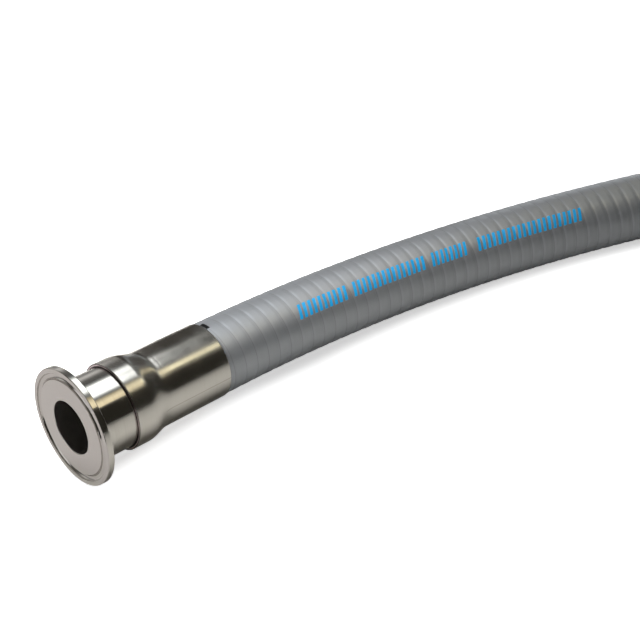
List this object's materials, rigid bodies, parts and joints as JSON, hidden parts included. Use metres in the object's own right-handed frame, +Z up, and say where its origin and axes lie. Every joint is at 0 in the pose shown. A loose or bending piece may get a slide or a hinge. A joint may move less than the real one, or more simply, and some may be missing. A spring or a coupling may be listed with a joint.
{
  "type": "etfe hose",
  "caption": "Flexible grey hose with an ETFE inner tube and a swaged stainless clamp ferrule on each end, lying in a gentle bend",
  "frame": {"origin": "on the ground, below the middle of the box round the two end fittings", "axes": "+Z up; +X from the near ferrule to the far one; +Y towards the outside of the bend"},
  "size_m": [0.5002, 0.0981, 0.0505],
  "materials": {
    "turned_steel": "fine turned",
    "drawn_steel": "satin polished",
    "liner": "smooth",
    "cover": "satin, with a fine helical rib"
  },
  "bodies": {
    "root": {"near_ferrule": "turned_steel", "near_sleeve": "drawn_steel", "far_ferrule": "turned_steel", "far_sleeve": "drawn_steel", "hose_liner": "liner", "hose_cover": "cover"}
  },
  "joints": []
}
